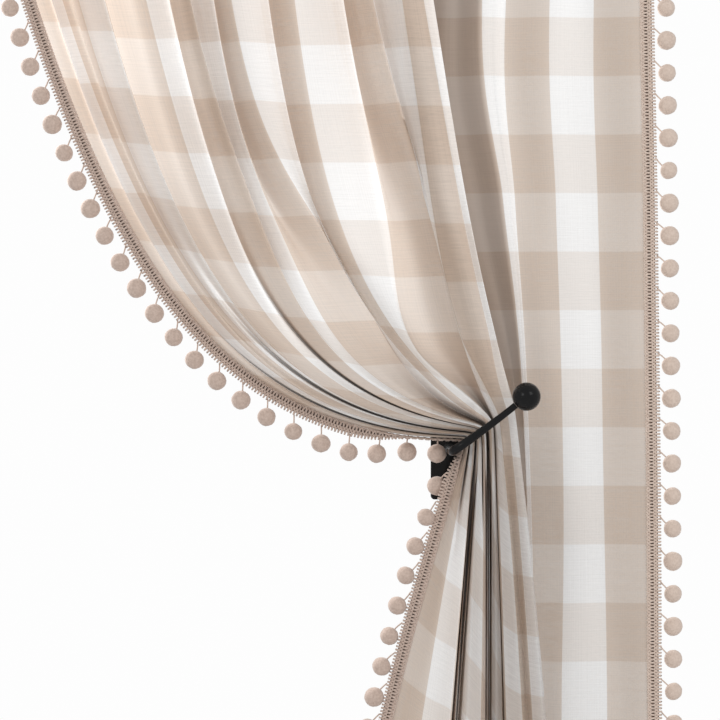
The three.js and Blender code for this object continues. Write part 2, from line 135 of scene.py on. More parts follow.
# Holdback
WALL_Y = 95
PLATE = {"x": 226, "drop": 1274, "width": 46, "height": 100, "thickness": 4, "corner": 4}
ARM = {"y": -58, "bend": 14, "root": 5.0, "tip": 3.3,
       "elbow": (221.2, 1269.9), "middle": (260, 1243), "tip_at": (283, 1224.5)}
BALL_RADIUS = 14
BALL_FOOT = 0.32  # angle from the ball's axis at which its foot starts
FIT_GAP = 0.3  # between two pieces of the holdback

# Colours, linear
WHITE_YARN = (0.87, 0.865, 0.86)
BEIGE_WARP = (0.60, 0.50, 0.42)
BEIGE_WEFT = (0.89, 0.835, 0.79)  # how far the beige weft tints what it crosses
THROUGH_WHITE = (0.93, 0.925, 0.92)
THROUGH_BEIGE = (0.77, 0.665, 0.575)
TRIM_BEIGE = (0.84, 0.695, 0.60)
TRIM_SHADOW = (0.63, 0.50, 0.42)
LEADING_BEIGE_IN_SHADE = (0.72, 0.575, 0.495)  # painted shade: the trim's yarn made darker for the leading trim, which hangs with its back to the window
LEADING_SHADOW = (0.47, 0.355, 0.295)
# painted shade: the colour of the dark strip behind each braid, which shows in the gaps between its
# strands
BRAID_GAP_SHADE = (0.20, 0.14, 0.11)
DIM = (0.42, 0.255, 0.165)  # what a little shade takes the cloth towards
SHADED = (0.035, 0.022, 0.015)  # and deep in a fold
BLACK = (0.008, 0.008, 0.009)

# Weave
CHECK_EDGE = 26.0  # how sharply one colour of the check meets the other
# Slubs of the weft, of the warp, and long ones: width, height, noise layer, detail, roughness
SLUBS = ((34.0, 0.9, 0.0, 3.0, 0.62), (1.4, 160.0, 3.0, 2.0, 0.55), (90.0, 2.6, 7.0, 2.0, 0.5))
LET_THROUGH = 0.42  # of the light
COVER = 0.93  # of the open weave, by its yarns
DEEPEST = 0.92  # share of the painted shade's dark colour where a fold is closed

# Light
# Shade in the swept panel's folds: the share that is left where the window lights them through,
# fading from `fades_from` above the bar over `fades_by`, and how narrow a fold is wholly shaded
SWEPT_SHADE = {"left": 0.12, "fades_from": 110, "fades_by": 260, "above": 1.9, "below": 3.4,
               "opens_by": 120}
# In the straight panel's folds, and on the column that shows behind the swept panel's edge
STRAIGHT_SHADE = {"narrow": 3.0, "share": 0.35, "behind": 0.45, "from": 3.6, "from_by": 0.4, "to": 4.93,
                  "to_by": 0.05, "drop": 1150, "drop_by": 250}
AMBIENT = 0.70  # of the white surroundings, as they light the cloth
SURROUNDINGS = (0.985, 0.985, 0.985, 1)
LIGHTS = {  # place, aim, power, size
    "key": ((1.9, -2.2, 0.1), (0.15, 0, -1.2), 12, 1.1),
    "fill": ((-1.5, -2.5, -0.2), (0.15, 0, -1.2), 11, 1.0),
    "window": ((-0.5, 0.4, -0.75), (-0.08, 0, -0.95), 10, 0.6),
}
CAMERA = {"x": 0.130, "z": -1.180, "before": 0.005, "frames": 0.72, "lens": 150, "sensor": 36}
FLOOR = {"half": 2.6, "z": -2.16}

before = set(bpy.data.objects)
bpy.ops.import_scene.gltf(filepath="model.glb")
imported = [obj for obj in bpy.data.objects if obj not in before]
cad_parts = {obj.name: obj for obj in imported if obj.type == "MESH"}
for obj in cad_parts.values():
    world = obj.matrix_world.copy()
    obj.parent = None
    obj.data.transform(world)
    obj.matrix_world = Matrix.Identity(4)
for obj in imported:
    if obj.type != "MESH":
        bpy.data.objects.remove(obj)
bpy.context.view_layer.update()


# Numbers


def smooth(t):
    """A soft step: nought below 0, one above 1, 3t^2 - 2t^3 between."""
    c = np.clip(t, 0, 1)
    return c * c * (3 - 2 * c)


def bell(distance, span):
    """exp(-(distance / span)^2)."""
    return np.exp(-((distance / span) ** 2))


def soft_ramp(x, width):
    """Nought before zero and x after it, with a soft corner of the given width."""
    return (x + np.sqrt(x * x + width * width)) / 2


def through(xs, ys, x):
    """A smooth curve through (xs, ys): on each stretch, the two end tangents blended by a soft step.

    ys may hold several columns, in which case its last axis runs along xs."""
    xs, ys, x = np.asarray(xs, float), np.asarray(ys, float), np.asarray(x, float)
    index = np.arange(len(xs))
    ahead, behind = np.minimum(index + 1, len(xs) - 1), np.maximum(index - 1, 0)
    slopes = (ys[..., ahead] - ys[..., behind]) / (xs[ahead] - xs[behind])
    i = np.clip(np.searchsorted(xs, x, side="right") - 1, 0, len(xs) - 2)
    width = xs[i + 1] - xs[i]
    t = (x - xs[i]) / width
    start = ys[..., i] + slopes[..., i] * width * t
    end = ys[..., i + 1] - slopes[..., i + 1] * width * (1 - t)
    return start + (end - start) * smooth(t)


def unit(vectors):
    return vectors / np.linalg.norm(vectors, axis=-1, keepdims=True)


def fold_shade(points, narrow):
    """How deep each point lies in a fold, from nought to one. Along a row of points, the fold's two
    sides rise before it to the slopes h = (y - y') / distance; its open share is
    1 - (atan(h left) + atan(h right)) / pi, and the shade is the soft step of
    1 - narrow x that share."""
    count = len(points)
    before = np.tril(np.ones((count, count), bool))
    shade = np.zeros(points.shape[:2])
    for row in range(points.shape[1]):
        x, y, z = points[:, row].T
        rise = np.maximum(y[:, None] - y[None], 0)
        slope = rise / (np.hypot(x[:, None] - x[None], z[:, None] - z[None]) + 0.6)
        left, right = (np.where(side, slope, 0).max(1) for side in (before, before.T))
        share = 1 - (np.arctan(left) + np.arctan(right)) / np.pi
        shade[:, row] = smooth(1 - narrow[:, row] * share)
    return shade


def ripple(across, down, seed, height, sizes):
    """A sum of slanted sine waves with seeded directions, about `height` mm high."""
    rng = np.random.default_rng(seed)
    total = 0
    for size in sizes:
        slant = rng.uniform(-0.5, 0.5)
        slanted = across / size[0] + slant * down / size[1]
        wave = np.sin(2 * np.pi * slanted + rng.uniform(0, 6.28))
        total = total + wave * np.sin(2 * np.pi * down / size[1] + rng.uniform(0, 6.28))
    return height * total / len(sizes)


# Cloth surfaces


def between(values, at):
    """Straight lines from one whole number's value to the next."""
    return np.interp(at, np.arange(len(values)), values)


def rounded(values, at):
    """`between`, with its corners rounded off by a short running mean."""
    return sum(between(values, at + step) for step in (-0.18, -0.06, 0.06, 0.18)) / 4


def fold_depth(folds, at):
    """Crests and valleys joined by soft steps, so that each is round."""
    places, depths = folds.T
    i = np.clip(np.searchsorted(places, at, side="right") - 1, 0, len(places) - 2)
    share = smooth((at - places[i]) / (places[i + 1] - places[i]))
    return depths[i] + (depths[i + 1] - depths[i]) * share


def fold_lean(folds, at):
    """How far a fold stands behind the straight line between its column's two edges: this much,
    times the overhang, it is moved to the left, so that valleys hide behind the crest on their left."""
    edges = fold_depth(folds, np.arange(SWEPT_CHECKS + 1).astype(float))
    return fold_depth(folds, at) - between(edges, at)


def swept_lines(at, above, below):
    """The lines of the swept panel at the columns `at`.

    Above the bar each is a cubic curve from the heading to the bar, taken by its length, with a
    bell-shaped bulge to the right, and below it a parabola to the hem. The two are added with soft
    ramps, so that the line turns round the bar. Returns x, drop, the length s from the bar and the
    length from the heading, each an array of lines by rows."""
    top, arm, low, bulge, bulge_from, bulge_span = SWEPT_LINES.T
    drawn = at + ROUND_FOLDS * np.sin(2 * np.pi * (at - 0.5)) / (2 * np.pi)
    top, arm, low = rounded(top, at), between(arm, drawn), rounded(low, at)
    known, *columns = SWEPT_CURVES.T
    lean, pull, angle, reach = (np.interp(at, known, column) for column in columns)
    crossing = np.stack([GATHER["x"] + arm * GATHER["dx"], GATHER["drop"] - arm * GATHER["drise"]], -1)
    heading = np.stack([top, np.zeros_like(top)], -1)
    leaving = unit(np.stack([lean, np.ones_like(lean)], -1))
    arriving = np.stack([np.cos(np.radians(angle)), np.sin(np.radians(angle))], -1)
    second = heading + leaving * pull[:, None]
    third = crossing - arriving * reach[:, None]
    t = np.linspace(0, 1, CURVE_STEPS)[None, :, None]
    curve = ((1 - t) ** 3 * heading[:, None] + 3 * (1 - t) ** 2 * t * second[:, None]
             + 3 * (1 - t) * t * t * third[:, None] + t ** 3 * crossing[:, None])
    steps = np.linalg.norm(np.diff(curve, axis=1), axis=2)
    along = np.concatenate([np.zeros((len(at), 1)), np.cumsum(steps, axis=1)], axis=1)
    upper = along[:, -1:]
    under = PANEL_LENGTH - upper
    s = np.concatenate([above[None] * upper, below[None] * under], axis=1)
    from_heading = upper - np.minimum(soft_ramp(-s, GATHER["turn"]), upper)
    x = np.stack([np.interp(d, a, c[:, 0]) for d, a, c in zip(from_heading, along, curve)])
    drop = np.stack([np.interp(d, a, c[:, 1]) for d, a, c in zip(from_heading, along, curve)])
    bulges = bulge[:, None, None] * bell(s[None] + bulge_from[:, None, None], bulge_span[:, None, None])
    place, line = np.clip(at.astype(int), 0, SWEPT_CHECKS - 1), np.arange(len(at))
    own = (at - place)[:, None]
    x = x + smooth(-s / BULGE_END) * (bulges[place, line] * (1 - own) + bulges[place + 1, line] * own)
    to_low = LOW_DROP - crossing[:, 1]
    hem = HEM_EDGE + (low - SWEPT_LINES[0, 2]) * HEM_SPREAD
    low_slope = (low - crossing[:, 0]) / to_low
    hem_slope = (hem - crossing[:, 0]) / under[:, 0]
    bend = ((hem_slope - low_slope) / (under[:, 0] - to_low))[:, None]
    slope = low_slope[:, None] - bend * to_low[:, None]
    d = soft_ramp(s, GATHER["turn"])
    x = x + slope * d + bend * d * d
    drop = drop + d - (slope ** 2 * d + 2 * slope * bend * d ** 2 + 4 * bend ** 2 * d ** 3 / 3) / 2
    return x, drop, s, s + upper


def swept_surface(at, above, below):
    """The swept panel: its lines, with the depth of its folds, which change from one table to the
    next as the cloth is drawn in to the bar and let out below it. Returns points (lines, rows, 3)
    in mm and the length from the heading."""
    x, drop, s, length = swept_lines(at, above, below)
    d = SWEPT_DEPTH
    middle = d["forward"] * smooth(length / d["forward_by"]) + d["at_arm"] * bell(s, d["at_arm_span"])
    drawn = smooth((s + d["drawn_from"]) / (d["drawn_from"] - d["drawn_by"]))
    let_out = smooth(s / d["let_out_by"]) * (1 + (d["hem"] - 1) * np.clip(s, 0, None) / 900)
    at_arm = drawn * (1 - smooth(s / d["let_out_by"]))
    parts = ((1 - drawn, SWEPT_FOLDS_ABOVE, 1), (at_arm, SWEPT_FOLDS_ARM, 0),
             (let_out, SWEPT_FOLDS_BELOW, 0))
    y = middle + sum(share * fold_depth(folds, at)[:, None] for share, folds, _ in parts)
    lean = sum(share * leans * fold_lean(folds, at)[:, None] for share, folds, leans in parts)
    return np.stack([x - d["overhang"] * lean, y, -drop], -1), length


def straight_surface(at, drop):
    """The straight panel: smooth lines down through the table's places, with the depth of its
    folds. It hangs from the same line as the swept panel and settles behind it."""
    across = through(STRAIGHT_DROPS, STRAIGHT_ACROSS, drop)
    i = np.clip(np.floor(at).astype(int), 0, STRAIGHT_CHECKS - 1)
    part = (at - i)[:, None]
    x = across[i] * (1 - part) + across[i + 1] * part
    d = STRAIGHT_DEPTH
    settled = smooth(drop / d["settled_by"])[None]
    middle = d["heading"] * (1 - settled) + d["settled"] * settled
    y = middle + fold_depth(STRAIGHT_FOLDS, at)[:, None] * (d["heading_share"] * (1 - settled) + settled)
    return np.stack([x, y, -np.broadcast_to(drop[None], x.shape)], -1)


# Meshes


def grid_faces(rows, columns, closed_columns=False):
    """Quads of a grid of points, rows by columns, as point numbers."""
    i = np.arange(rows - 1)[:, None]
    j = np.arange(columns if closed_columns else columns - 1)[None]
    a = i * columns + j
    b = i * columns + (j + 1) % columns
    c = (i + 1) * columns + (j + 1) % columns
    d = (i + 1) * columns + j
    return np.stack([a, b, c, d], -1).reshape(-1, 4)


def new_piece(name, points, faces, material, uv=None, shade=None):
    """A smooth mesh object from points in mm and quads, riding on the root. uv and shade are per
    point."""
    mesh = bpy.data.meshes.new(name)
    mesh.vertices.add(len(points))
    mesh.vertices.foreach_set("co", (np.asarray(points, np.float32) * MM).ravel())
    mesh.loops.add(faces.size)
    mesh.loops.foreach_set("vertex_index", faces.ravel().astype(np.int32))
    mesh.polygons.add(len(faces))
    mesh.polygons.foreach_set("loop_start", np.arange(0, faces.size, faces.shape[1], dtype=np.int32))
    mesh.polygons.foreach_set("loop_total", np.full(len(faces), faces.shape[1], np.int32))
    mesh.polygons.foreach_set("use_smooth", np.ones(len(faces), bool))
    if uv is not None:
        layer = mesh.uv_layers.new(name="cloth")
        layer.data.foreach_set("uv", np.asarray(uv, np.float32)[faces.ravel()].ravel())
    if shade is not None:
        layer = mesh.attributes.new("shade", "FLOAT", "POINT")
        layer.data.foreach_set("value", np.asarray(shade, np.float32).ravel())
    mesh.update()
    mesh.validate()
    mesh.materials.append(material)
    piece = bpy.data.objects.new(name, mesh)
    bpy.context.collection.objects.link(piece)
    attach(piece, "root")
    return piece


def tube(centres, radii, sides, across=None):
    """Points of a tube: a ring of `sides` points about each centre, square to the path."""
    tangent = unit(np.gradient(centres, axis=0))
    guide = np.broadcast_to(np.array([0, -1.0, 0]) if across is None else across, tangent.shape)
    first = unit(np.cross(tangent, guide))
    second = np.cross(first, tangent)
    angle = np.linspace(0, 2 * np.pi, sides, endpoint=False)
    ring = np.cos(angle)[None, :, None] * first[:, None] + np.sin(angle)[None, :, None] * second[:, None]
    return (centres[:, None] + np.asarray(radii).reshape(-1, 1, 1) * ring).reshape(-1, 3)


def lathe(profile, sides, origin, axis):
    """Points of a profile (radius, height) turned about an axis. Ends of no radius are kept as
    tiny rings and closed by the fan of quads between them."""
    axis = unit(np.asarray(axis, float))
    guide = np.array([0, 0, 1.0]) if abs(axis[2]) < 0.9 else np.array([1.0, 0, 0])
    first = unit(np.cross(axis, guide))
    second = np.cross(axis, first)
    angle = np.linspace(0, 2 * np.pi, sides, endpoint=False)
    ring = np.cos(angle)[:, None] * first + np.sin(angle)[:, None] * second
    radius, height = np.asarray(profile, float).T[:, :, None, None]
    return (np.asarray(origin) + height * axis + radius * ring[None]).reshape(-1, 3)


# Shader expressions


class Socket:
    """A shader value that Python's operators work on, each adding a Math node."""

    def __init__(self, tree, socket):
        self.tree = tree
        self.socket = socket

    def math(self, operation, *others, clamp=False):
        node = self.tree.nodes.new("ShaderNodeMath")
        node.operation = operation
        node.use_clamp = clamp
        for slot, value in zip(node.inputs, (self, *others)):
            plug(self.tree, slot, value)
        return Socket(self.tree, node.outputs[0])

    def __add__(self, other):
        return self.math("ADD", other)

    def __sub__(self, other):
        return self.math("SUBTRACT", other)

    def __mul__(self, other):
        return self.math("MULTIPLY", other)

    def clamped(self):
        return self.math("ADD", 0.0, clamp=True)


def plug(tree, slot, value):
    """Link or set one socket."""
    if isinstance(value, Socket):
        tree.links.new(value.socket, slot)
    elif value is not None:
        is_colour = isinstance(value, tuple) and len(slot.default_value) == 4
        slot.default_value = (*value, 1.0) if is_colour else value


class Shader:
    """A material's node tree, with one method that adds any node."""

    def __init__(self, name):
        self.material = bpy.data.materials.new(name)
        self.material.use_nodes = True
        self.tree = self.material.node_tree
        self.tree.nodes.clear()

    def add(self, kind, settings=None, inputs=None, output=0):
        node = self.tree.nodes.new(kind)
        for key, value in (settings or {}).items():
            setattr(node, key, value)
        for key, value in (inputs or {}).items():
            plug(self.tree, node.inputs[key], value)
        return Socket(self.tree, node.outputs[output])

    def split(self, vector):
        node = self.tree.nodes.new("ShaderNodeSeparateXYZ")
        self.tree.links.new(vector.socket, node.inputs[0])
        return [Socket(self.tree, out) for out in node.outputs]

    def join(self, x, y, z=0.0):
        return self.add("ShaderNodeCombineXYZ", inputs={0: x, 1: y, 2: z})

    def noise(self, vector, scale, detail=2.0, roughness=0.5):
        return self.add("ShaderNodeTexNoise", inputs={
            "Vector": vector, "Scale": scale, "Detail": detail, "Roughness": roughness})

    def mix(self, factor, a, b, blend="MIX"):
        node = self.tree.nodes.new("ShaderNodeMix")
        node.data_type = "RGBA"
        node.blend_type = blend
        plug(self.tree, node.inputs["Factor"], factor)
        plug(self.tree, node.inputs[6], a)
        plug(self.tree, node.inputs[7], b)
        return Socket(self.tree, node.outputs[2])

    def blend(self, factor, a, b):
        return self.add("ShaderNodeMixShader", inputs={0: factor, 1: a, 2: b})

    def bump(self, height, strength, distance):
        return self.add("ShaderNodeBump", inputs={
            "Height": height, "Strength": strength, "Distance": distance})

    def done(self, surface):
        out = self.tree.nodes.new("ShaderNodeOutputMaterial")
        self.tree.links.new(surface.socket, out.inputs["Surface"])
        return self.material


def check_cloth():
    """Semi-sheer voile in a buffalo check: warp and weft each beige in every other column or row,
    slubs along both, a fine open weave, part of the light let through."""
    m = Shader("check_cloth")
    uv = m.add("ShaderNodeUVMap", {"uv_map": "cloth"})
    u, v, _ = m.split(uv)
    warp, weft = (((way * math.pi).math("SINE") * CHECK_EDGE + 0.5).clamped() for way in (u, v))
    slub_weft, slub_warp, long_weft = (
        m.noise(m.join(u * (CHECK / wide), v * (CHECK / high), layer), 1.0, detail, roughness)
        for wide, high, layer, detail, roughness in SLUBS)
    streak = (slub_weft - 0.5) * 0.34 + (slub_warp - 0.5) * 0.22 + (long_weft - 0.5) * 0.16
    colour = m.mix(warp, WHITE_YARN, BEIGE_WARP)
    tint = m.mix(weft, (1.0, 1.0, 1.0), BEIGE_WEFT)
    colour = m.mix(1.0, colour, tint, "MULTIPLY")
    grey = (streak * (warp * weft * 0.8 + 0.6) + 0.97).clamped()
    colour = m.mix(1.0, colour, m.join(grey, grey, grey), "MULTIPLY")
    weave = m.bump(slub_weft * 0.7 + slub_warp * 0.5 + long_weft * 0.4, 0.35, 0.0006)
    face = m.add("ShaderNodeBsdfPrincipled", inputs={
        "Base Color": colour, "Roughness": 0.92, "Specular IOR Level": 0.15, "Sheen Weight": 0.1,
        "Normal": weave})
    through_white = m.add("ShaderNodeBsdfTranslucent", inputs={"Color": THROUGH_WHITE})
    through_beige = m.add("ShaderNodeBsdfTranslucent", inputs={"Color": THROUGH_BEIGE})
    beige_share = (warp * 0.62 + weft * 0.30).clamped()
    lit_through = m.blend(beige_share, through_white, through_beige)
    cloth = m.blend(LET_THROUGH, face, lit_through)
    cover = (streak * 0.7 + COVER + warp * 0.02 + weft * 0.01).clamped()
    open_weave = m.add("ShaderNodeBsdfTransparent")
    # Painted shade: the shade attribute, from how closed each fold is, darkens the cloth towards DIM and,
    # deep in a fold, SHADED, and makes the open weave opaque there
    shade = m.add("ShaderNodeAttribute", {"attribute_name": "shade"}, output=2)
    dim = m.mix(1.0, colour, m.mix(shade, DIM, SHADED), "MULTIPLY")
    deep = m.add("ShaderNodeBsdfPrincipled", inputs={
        "Base Color": dim, "Roughness": 1.0, "Specular IOR Level": 0.0})
    cloth = m.blend((shade * DEEPEST).clamped(), cloth, deep)
    return m.done(m.blend((cover + shade).clamped(), open_weave, cloth))


def trim_yarn(name, colour, dark):
    """Matt spun yarn: a mottle of two beiges and a fine fibre bump."""
    m = Shader(name)
    place = m.add("ShaderNodeTexCoord", output=3)
    mottle = m.noise(place, 420.0, 3.0, 0.6)
    fibre = m.noise(place, 2300.0, 2.0, 0.7)
    base = m.mix((mottle * 1.6 - 0.3).clamped(), dark, colour)
    rough = m.bump(fibre, 0.5, 0.0005)
    return m.done(m.add("ShaderNodeBsdfPrincipled", inputs={
        "Base Color": base, "Roughness": 0.95, "Specular IOR Level": 0.1, "Sheen Weight": 0.35,
        "Normal": rough}))


def black_enamel():
    """Gloss black paint with a slight orange-peel and a few duller patches."""
    m = Shader("black_enamel")
    place = m.add("ShaderNodeTexCoord", output=3)
    patch = m.noise(place, 60.0, 3.0, 0.5)
    peel = m.bump(m.noise(place, 900.0, 2.0, 0.5), 0.08, 0.0002)
    return m.done(m.add("ShaderNodeBsdfPrincipled", inputs={
        "Base Color": m.mix(patch, BLACK, (0.012, 0.0118, 0.0118)), "Roughness": patch * 0.1 + 0.13,
        "Specular IOR Level": 0.14, "Normal": peel}))


def pale_floor():
    m = Shader("pale_floor")
    place = m.add("ShaderNodeTexCoord", output=3)
    grain = m.noise(place, 3.0, 3.0, 0.5)
    return m.done(m.add("ShaderNodeBsdfPrincipled", inputs={
        "Base Color": m.mix(grain, (0.78, 0.78, 0.78), (0.84, 0.84, 0.84)), "Roughness": 0.8}))


# Pieces


def row_shares(steps_above, steps_below):
    """Shares of a line above and below the bar, closer together near it."""
    above = -((1 - np.arange(steps_above) / steps_above) ** CLOSER_TO_BAR[0])
    below = (np.arange(steps_below + 1) / steps_below) ** CLOSER_TO_BAR[1]
    return above, below


def make_sheet(name, at, length, row_phase, points, shade, material):
    """A panel's mesh, with its columns and rows of checks as uv, and its shade."""
    uv = np.stack([np.broadcast_to(at[:, None], length.shape), (length - row_phase) / CHECK], -1)
    return new_piece(name, points.reshape(-1, 3), grid_faces(*length.shape), material,
                     uv.reshape(-1, 2), shade)


def make_swept_panel(material):
    across, down = SWEPT_STEPS
    above, below = row_shares(ROWS_ABOVE_BAR, down - ROWS_ABOVE_BAR)
    at = np.linspace(0, SWEPT_CHECKS, across + 1)
    points, length = swept_surface(at, above, below)
    points = points + wrinkles(points, at * CHECK, length, 5)
    upper = length[:, ROWS_ABOVE_BAR][:, None]
    d = SWEPT_SHADE
    lit = d["left"] + (1 - d["left"]) * (1 - smooth((upper - length - d["fades_from"]) / d["fades_by"]))
    narrow = d["above"] + (d["below"] - d["above"]) * smooth((length - upper) / d["opens_by"])
    shade = fold_shade(points, narrow) * lit
    piece = make_sheet("swept_voile", at, length, SWEPT_ROW_PHASE, points, shade, material)
    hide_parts("swept_panel")
    return piece, points, length


def wrinkles(points, across, length, seed):
    """Small unevenness of the cloth, in mm, along the depth axis and a little sideways."""
    a, b = np.broadcast_arrays(across[:, None], length)
    deep = ripple(a, b, seed, *WRINKLES_DEEP)
    sideways = ripple(a, b, seed + 1, *WRINKLES_SIDEWAYS)
    return np.stack([sideways, deep, np.zeros_like(deep)], -1)


def make_straight_panel(material):
    across, down = STRAIGHT_STEPS
    at = np.linspace(0, STRAIGHT_CHECKS, across + 1)
    drop = np.linspace(0, PANEL_LENGTH, down + 1)
    points = straight_surface(at, drop)
    length = np.broadcast_to(drop[None], points.shape[:2])
    points = points + wrinkles(points, at * CHECK, length, 11)
    d = STRAIGHT_SHADE
    # Painted shade: the folds' own, and more on the column that shows behind the swept panel's edge,
    # above the bar, where the swept panel shades it
    column = smooth((at - d["from"]) / d["from_by"]) * (1 - smooth((at - d["to"]) / d["to_by"]))
    behind = d["behind"] * column[:, None] * (1 - smooth((drop - d["drop"]) / d["drop_by"]))
    shade = np.clip(fold_shade(points, np.full(length.shape, d["narrow"])) * d["share"] + behind, 0, 1)
    piece = make_sheet("straight_voile", at, length, STRAIGHT_ROW_PHASE, points, shade, material)
    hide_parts("straight_panel")
    return piece, points


def neck_turn(s):
    """How far the braid is turned edgewise at the length s from the bar."""
    d = NECK_TURN
    t = np.where(s < 0, (-s - d["whole"]) / (d["above"] - d["whole"]), s / d["below"])
    return d["angle"] * (1 - smooth(t))


def edge_frame(edge, inner, s, turn, samples):
    """An edge taken at even lengths. Returns the lengths s there, counted as in `s`, the centres,
    the tangents, the outward directions, flat along the wall, and the braid's directions: the
    outward ones turned edgewise by the angle `turn`."""
    along = np.concatenate([[0], np.cumsum(np.linalg.norm(np.diff(edge, axis=0), axis=1))])
    at = np.linspace(0, along[-1], samples)
    centre = np.stack([np.interp(at, along, edge[:, k]) for k in range(3)], -1)
    inside = np.stack([np.interp(at, along, inner[:, k]) for k in range(3)], -1)
    tangent = unit(np.gradient(centre, axis=0))
    flat = unit(np.stack([tangent[:, 2], np.zeros(samples), -tangent[:, 0]], -1))
    flat = flat * np.sign((flat * (centre - inside)).sum(-1, keepdims=True))
    places = np.interp(at, along, s)
    angle = turn(places)[:, None]
    return places, centre, tangent, flat, flat * np.cos(angle) + np.array([0, 1.0, 0]) * np.sin(angle)


def make_braid(name, edge, inner, s, turn, material, gap_shade_material):
    """A gimp braid beside a cloth edge: on each half of the braid two strands swing from the middle
    to the edge as the sine of its length, half a wave apart, so that they cross in a herringbone,
    and their turns stand out as loops. Behind them lies a narrow dark strip, painted shade that
    darkens the gaps between the strands."""
    length = np.linalg.norm(np.diff(edge, axis=0), axis=1).sum()
    sides = BRAID["sides"]
    samples = int(length / BRAID["wave"] * BRAID["per_wave"])
    _, centre, tangent, flat, out = edge_frame(edge, inner, s, turn, samples)
    at = np.linspace(0, length, samples)
    normal = unit(np.cross(tangent, out))
    normal = normal * np.sign(-normal[:, 1:2] + 1e-9)
    lap = BRAID["lap"] * (flat * out).sum(-1, keepdims=True)
    middle = centre + out * (BRAID["width"] / 2 - lap) + normal * BRAID["lift"]
    points, faces = [], []
    for half in (-1, 1):
        for k in range(2):
            phase = 2 * np.pi * (at / BRAID["wave"] + k / 2)
            path = middle + out * half * (BRAID["half"] + BRAID["swing"] * np.sin(phase))[:, None] \
                + tangent * (BRAID["slant"] * np.cos(phase) * half)[:, None] \
                + normal * (BRAID["rise"] * np.cos(phase + k * np.pi))[:, None]
            faces.append(grid_faces(samples, sides, closed_columns=True) + len(points) * samples * sides)
            points.append(tube(path, np.full(samples, BRAID["strand"]), sides, across=normal))
    # Painted shade: a narrow dark strip behind the strands, darkening the gaps between them
    edges = (-GAP_SHADE_STRIP["half"], GAP_SHADE_STRIP["half"])
    dark_strip = np.stack([middle + out * side - normal * GAP_SHADE_STRIP["behind"] for side in edges], 1)[::GAP_SHADE_STRIP["every"]]
    back = new_piece(name + "_tape", dark_strip.reshape(-1, 3), grid_faces(len(dark_strip), 2), gap_shade_material)
    return new_piece(name, np.concatenate(points), np.concatenate(faces), material), back


def pompom_row(row, end):
    """Places of a row of pompoms as far as `end`."""
    first, pitch, growth = row
    k = np.arange(200)
    places = first + k * (pitch + growth * k)
    return places[places < end]


def pompom_places(where, edge, inner, s, turn, below=False):
    """Roots on the braid's outer edge, hanging directions and centres of pompoms at the given
    lengths s. A pompom hangs outwards, and as far down along the edge as the edge slopes down.
    Below the bar it hangs less outwards, and back to the wall where the braid is turned."""
    places, centre, tangent, flat, out = edge_frame(edge, inner, s, turn, 2400)
    outer = centre + out * (BRAID["gap"] + BRAID["width"])
    slope = unit(np.gradient(outer, axis=0))
    outwards, back = np.ones(len(places)), np.zeros(len(places))
    if below:
        under = places > 0
        outwards = np.where(under, HANG_BELOW[0] * smooth(places / HANG_BELOW[1]), 1)
        back = np.where(under, np.sin(turn(places)), 0)
    hang = flat * outwards[:, None] + slope * np.maximum(-slope[:, 2:3], 0)
    hang = unit(hang + np.array([0, 1.0, 0]) * back[:, None])
    roots, hang = (np.stack([np.interp(where, places, values[:, k]) for k in range(3)], -1)
                   for values in (outer, hang))
    hang = unit(hang)
    return roots, hang, roots + hang * POMPOM["reach"]


def make_pompoms(name, places, material):
    """Felted balls, a little lumpy, each on a thread from the braid's outer edge."""
    rng = np.random.default_rng(len(name))
    d = POMPOM
    rings, sides, steps = d["rings"], d["sides"], d["thread_steps"]
    polar = np.linspace(0, np.pi, rings + 1)
    polar[0], polar[-1] = 0.02, np.pi - 0.02
    turn = np.linspace(0, 2 * np.pi, sides, endpoint=False)
    ball = np.stack([np.sin(polar)[:, None] * np.cos(turn), np.cos(polar)[:, None] * np.ones(sides),
                     np.sin(polar)[:, None] * np.sin(turn)], -1).reshape(-1, 3)
    points, faces = [], []
    count = 0
    for root, direction, middle in zip(*places):
        first_axis = unit(np.cross(direction, [0, 1.0, 0]))
        second_axis = np.cross(first_axis, direction)
        basis = np.stack([first_axis, direction, second_axis])
        radius = d["radius"] * rng.uniform(1 - d["uneven"], 1 + d["uneven"])
        lumps = 1 + rng.normal(0, d["lumps"], (len(ball), 1))
        t = np.linspace(0, 1, steps)[:, None]
        sway = first_axis * rng.uniform(-d["sway"], d["sway"]) * t * (1 - t) * 4
        start = root - direction * d["sewn_in"]
        thread = start + (middle - start) * t + sway
        points.append(middle + (ball * radius * lumps * (1, rng.uniform(d["flatter"], 1.0), 1)) @ basis)
        faces.append(grid_faces(rings + 1, sides, closed_columns=True)[:, ::-1] + count)
        count += len(ball)
        points.append(tube(thread, np.full(steps, d["thread"]), steps))
        faces.append(grid_faces(steps, steps, closed_columns=True) + count)
        count += steps * steps
    return new_piece(name, np.concatenate(points), np.concatenate(faces), material)


def root_clear(places):
    """Of the pompoms, those that aren't where the holdback's root is."""
    x, drop = ARM["elbow"]
    centres = places[2]
    kept = np.hypot(centres[:, 0] - x, centres[:, 2] + drop) > ARM["root"] + POMPOM["radius"] + FIT_GAP
    return [values[kept] for values in places]


